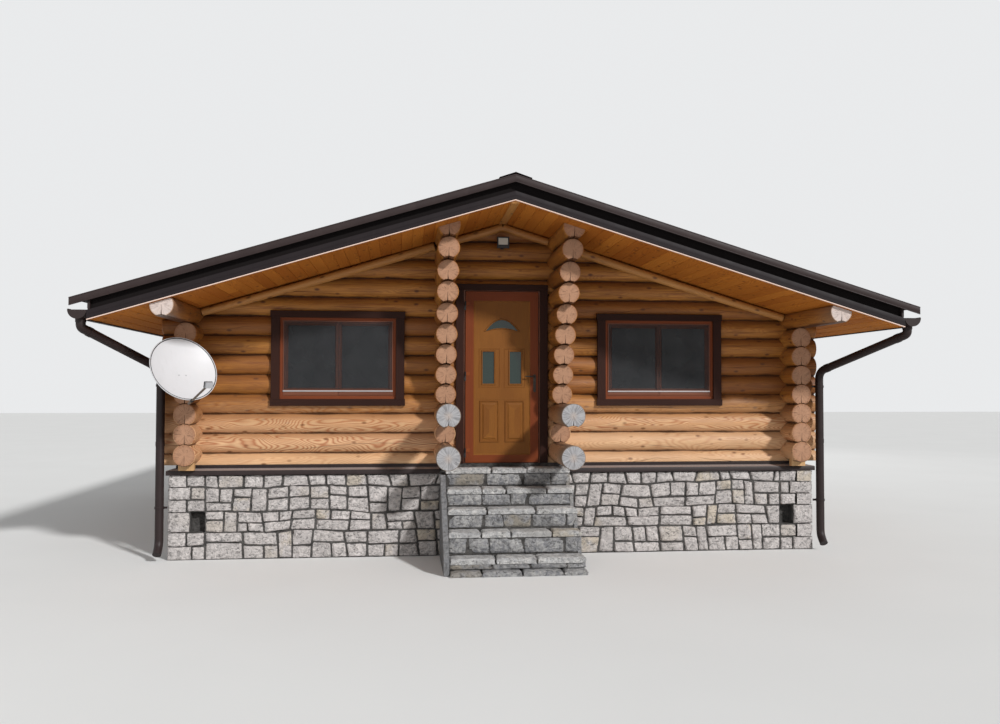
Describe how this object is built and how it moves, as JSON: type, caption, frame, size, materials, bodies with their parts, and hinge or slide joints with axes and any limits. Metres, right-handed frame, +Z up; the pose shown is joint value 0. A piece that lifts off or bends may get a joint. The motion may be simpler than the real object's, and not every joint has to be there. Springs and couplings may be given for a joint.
{
  "type": "log cabin",
  "caption": "Round-log cabin with a gabled porch roof, split-stone plinth, stone entrance steps, a hinged entrance door, dark-trimmed windows and a roof dish.",
  "frame": {"origin": "On the ground under the middle of the roof, at the centre of the bounding box's base", "axes": "+X to the right seen from the entrance, -Y out of the entrance front, +Z up"},
  "size_m": [9.2412, 10.85, 4.3508],
  "materials": {
    "stone": "split limestone with dark recessed joints",
    "step_stone": "weathered limestone slabs",
    "render_grey": "grey render",
    "log_wood": "stained round logs with checks and knots",
    "pole_wood": "stained poles",
    "board_wood": "stained matchboard",
    "floor_wood": "oiled boards",
    "dark_board": "dark painted boards",
    "roof_metal": "dark brown sheet",
    "dark_metal": "dark brown sheet",
    "dark_trim": "dark brown stained boards",
    "frame_wood": "red-brown stained frame",
    "door_wood": "red-brown frame and golden oak panel",
    "glass": "dark glazing",
    "handle_metal": "dark bronze",
    "black_metal": "black",
    "dish_grey": "off-white paint",
    "galvanised": "galvanised"
  },
  "bodies": {
    "house": {"plinth_walls": "stone", "floor": "floor_wood", "plinth_skirt": "dark_metal", "step_core": "step_stone", "step_treads": "step_stone", "step_cheek": "render_grey", "log_end_blocks": "log_wood", "front_left_logs": "log_wood", "front_right_logs": "log_wood", "front_gable_logs": "log_wood", "back_wall_logs": "log_wood", "back_gable_logs": "log_wood", "left_wall_logs": "log_wood", "right_wall_logs": "log_wood", "left_porch_logs": "log_wood", "right_porch_logs": "log_wood", "eave_purlins": "log_wood", "mid_purlins": "log_wood", "gable_poles": "pole_wood", "roof_boards_left": "board_wood", "roof_boards_right": "board_wood", "roof_panel_left": "dark_board", "roof_panel_right": "dark_board", "roof_sheet_left": "roof_metal", "roof_sheet_right": "roof_metal", "ridge_cap": "roof_metal", "verge_strips": "roof_metal", "verge_fascias": "dark_metal", "eave_fascias": "dark_metal", "gutters": "dark_metal", "downpipe_left": "dark_metal", "downpipe_right": "dark_metal", "window_trims": "dark_trim", "window_frames": "frame_wood", "window_panes": "glass", "door_frame": "frame_wood", "door_trim": "dark_trim", "floodlight": "black_metal", "dish_reflector": "dish_grey", "dish_mount": "galvanised", "hinge_seats": "black_metal"},
    "door": {"door_leaf": "door_wood", "door_glass": "glass", "door_handle": "handle_metal", "door_hinges": "black_metal"}
  },
  "joints": [
    {"name": "door_swing", "type": "hinge", "parent": "house", "child": "door", "pos_m": [-0.452, -4.064, 2.153], "axis": [0, 0, -1], "range_deg": [0, 90]}
  ]
}
